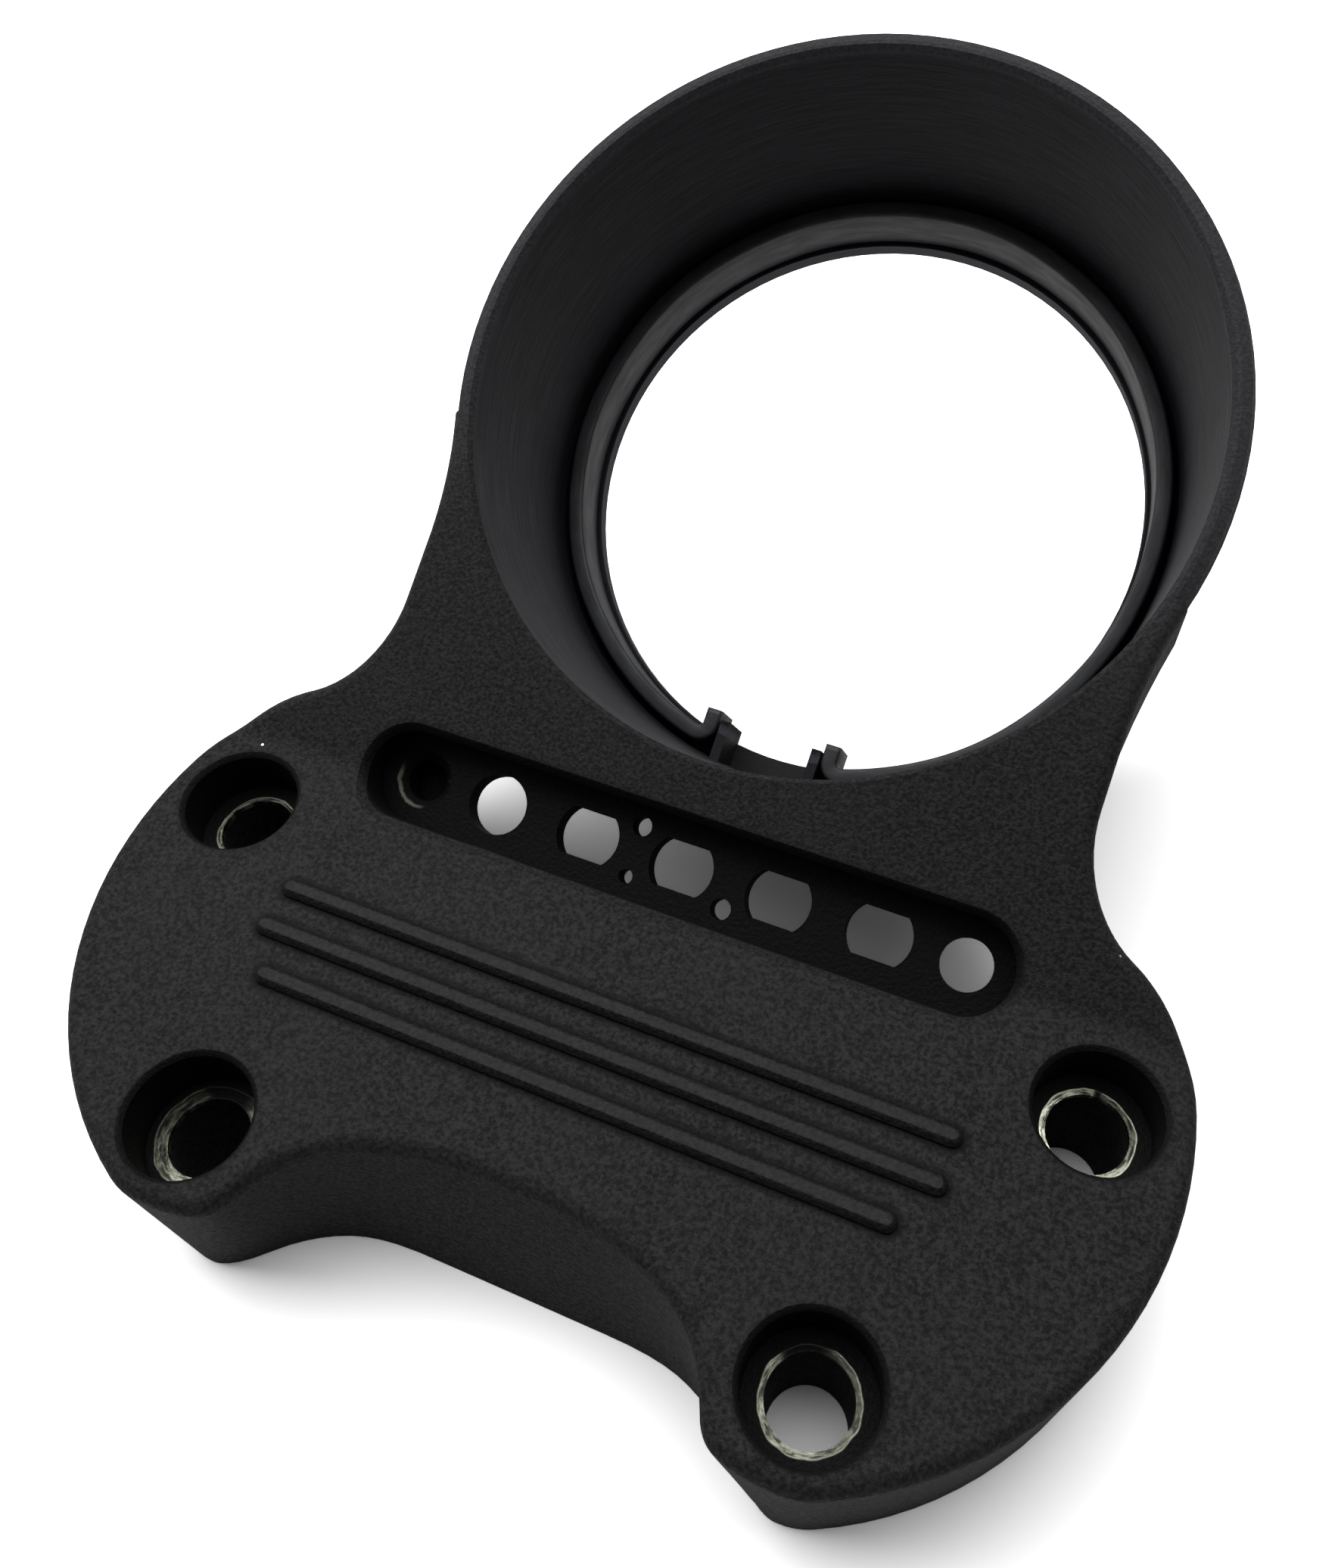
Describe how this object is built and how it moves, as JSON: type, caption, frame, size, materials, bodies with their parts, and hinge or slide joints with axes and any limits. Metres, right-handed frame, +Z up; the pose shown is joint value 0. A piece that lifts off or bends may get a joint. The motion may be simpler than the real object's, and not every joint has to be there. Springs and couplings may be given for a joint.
{
  "type": "speedometer bracket",
  "caption": "Black wrinkle-coated cast bracket: a ribbed bolt-down plate, a slot for warning lamps and a tilted round cup that holds a speedometer on a soft gasket.",
  "frame": {"origin": "on the underside, midway between the two rear bolt holes", "axes": "+Z up through the bolt plate, +Y towards the cup, +X to the right seen from the lobes"},
  "size_m": [0.1196, 0.1534, 0.0711],
  "materials": {
    "wrinkle_coat": "black wrinkle coat, satin",
    "gasket_rubber": "smooth, matt"
  },
  "bodies": {
    "root": {"bracket_casting": "wrinkle_coat", "gauge_gasket": "gasket_rubber"}
  },
  "joints": []
}
